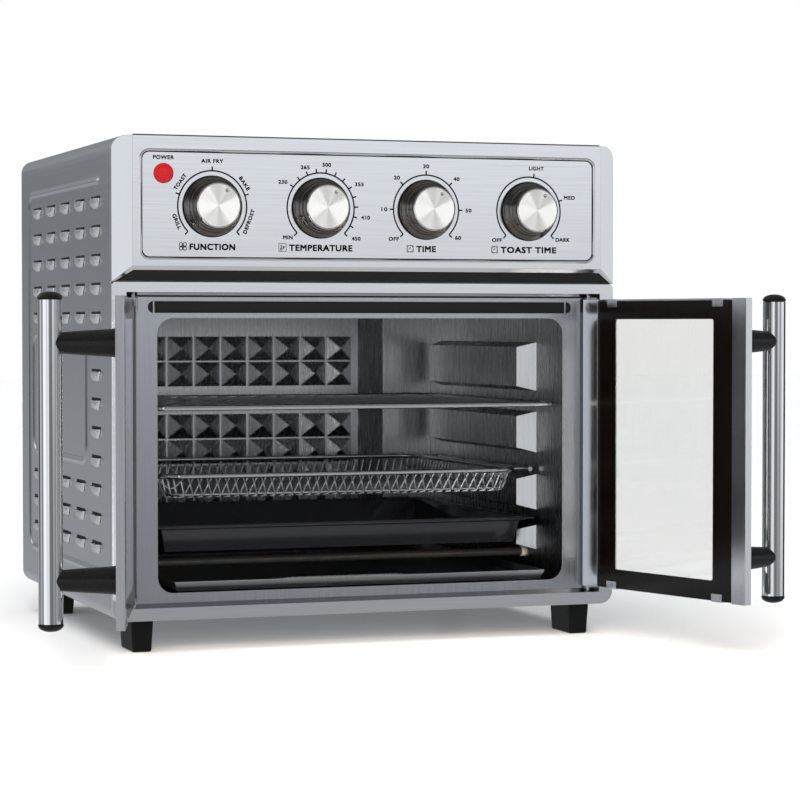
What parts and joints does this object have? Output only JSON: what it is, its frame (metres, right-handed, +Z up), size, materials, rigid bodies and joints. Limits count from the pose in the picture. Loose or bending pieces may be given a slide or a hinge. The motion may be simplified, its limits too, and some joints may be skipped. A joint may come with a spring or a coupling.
{
  "type": "toaster oven",
  "caption": "Countertop toaster oven with a boxy steel casing, glass French doors with bar handles, a dial panel above, and sliding shelves inside.",
  "frame": {"origin": "on the table under the middle of the oven with both doors open, as it is stored", "axes": "+X to the right seen from the front, +Y from the doors towards the back, +Z up"},
  "size_m": [0.557, 0.5048, 0.3767],
  "materials": {
    "brushed_steel": "fine brushed stainless steel",
    "casing_steel": "satin steel sheet",
    "liner_steel": "bright galvanised sheet",
    "polished_chrome": "polished",
    "wire_chrome": "plated wire",
    "black_plastic": "moulded",
    "tempered_glass": "clear with a black fired border",
    "red_lens": "translucent lens",
    "black_enamel": "enamel",
    "heater_sheath": "dull sheath"
  },
  "bodies": {
    "oven_body": {"control_panel": "brushed_steel", "front_ring": "brushed_steel", "outer_shell": "casing_steel", "base_pan": "casing_steel", "back_panel": "casing_steel", "fan_motor": "casing_steel", "front_plate": "liner_steel", "cavity_left_wall": "liner_steel", "cavity_right_wall": "liner_steel", "cavity_roof": "liner_steel", "cavity_floor": "liner_steel", "cavity_back_wall": "liner_steel", "fan_guard": "liner_steel", "left_hinge_pin_bottom": "polished_chrome", "left_hinge_pin_top": "polished_chrome", "right_hinge_pin_bottom": "polished_chrome", "right_hinge_pin_top": "polished_chrome", "vent_strip": "black_plastic", "cord_gland": "black_plastic", "front_left_foot": "black_plastic", "front_right_foot": "black_plastic", "rear_left_foot": "black_plastic", "rear_right_foot": "black_plastic", "function_switch": "black_plastic", "thermostat": "black_plastic", "timer": "black_plastic", "toast_timer": "black_plastic", "power_lamp": "red_lens", "heater_top_front": "heater_sheath", "heater_top_rear": "heater_sheath", "heater_bottom_front": "heater_sheath", "heater_bottom_rear": "heater_sheath"},
    "left_door": {"left_door_frame": "brushed_steel", "left_door_glass": "tempered_glass", "left_handle_bar": "polished_chrome", "left_handle_standoff_top": "black_plastic", "left_handle_standoff_bottom": "black_plastic", "left_handle_cap_top": "black_plastic", "left_handle_cap_bottom": "black_plastic"},
    "right_door": {"right_door_frame": "brushed_steel", "right_door_glass": "tempered_glass", "right_handle_bar": "polished_chrome", "right_handle_standoff_top": "black_plastic", "right_handle_standoff_bottom": "black_plastic", "right_handle_cap_top": "black_plastic", "right_handle_cap_bottom": "black_plastic"},
    "function_dial": {"function_knob": "polished_chrome"},
    "temperature_dial": {"temperature_knob": "polished_chrome"},
    "time_dial": {"time_knob": "polished_chrome"},
    "toast_dial": {"toast_knob": "polished_chrome"},
    "rack": {"wire_rack": "wire_chrome"},
    "basket": {"fry_basket": "wire_chrome"},
    "tray": {"baking_tray": "black_enamel"},
    "crumb_drawer": {"crumb_tray": "liner_steel"},
    "fan": {"fan_rotor": "liner_steel"}
  },
  "joints": [
    {"name": "left_door_hinge", "type": "hinge", "parent": "oven_body", "child": "left_door", "pos_m": [-0.1804, -0.08025, 0.1479], "axis": [0, 0, -1], "range_deg": [-106.5, 0]},
    {"name": "right_door_hinge", "type": "hinge", "parent": "oven_body", "child": "right_door", "pos_m": [0.1804, -0.08025, 0.1479], "axis": [0, 0, 1], "range_deg": [-106.5, 0]},
    {"name": "function_turn", "type": "hinge", "parent": "oven_body", "child": "function_dial", "pos_m": [-0.1245, -0.09495, 0.326], "axis": [0, 1, 0], "range_deg": [-164, 106]},
    {"name": "temperature_turn", "type": "hinge", "parent": "oven_body", "child": "temperature_dial", "pos_m": [-0.0415, -0.09495, 0.326], "axis": [0, 1, 0], "range_deg": [-164, 106]},
    {"name": "time_turn", "type": "hinge", "parent": "oven_body", "child": "time_dial", "pos_m": [0.0415, -0.09495, 0.326], "axis": [0, 1, 0], "range_deg": [-164, 106]},
    {"name": "toast_turn", "type": "hinge", "parent": "oven_body", "child": "toast_dial", "pos_m": [0.1245, -0.09495, 0.326], "axis": [0, 1, 0], "range_deg": [-164, 106]},
    {"name": "rack_slide", "type": "slide", "parent": "oven_body", "child": "rack", "axis": [0, -1, 0], "range_m": [0, 0.2]},
    {"name": "basket_slide", "type": "slide", "parent": "oven_body", "child": "basket", "axis": [0, -1, 0], "range_m": [0, 0.2]},
    {"name": "tray_slide", "type": "slide", "parent": "oven_body", "child": "tray", "axis": [0, -1, 0], "range_m": [0, 0.2]},
    {"name": "crumb_slide", "type": "slide", "parent": "oven_body", "child": "crumb_drawer", "axis": [0, -1, 0], "range_m": [0, 0.25]},
    {"name": "fan_spin", "type": "hinge", "parent": "oven_body", "child": "fan", "pos_m": [0, 0.07955, 0.28], "axis": [0, 0, 1], "continuous": true}
  ]
}
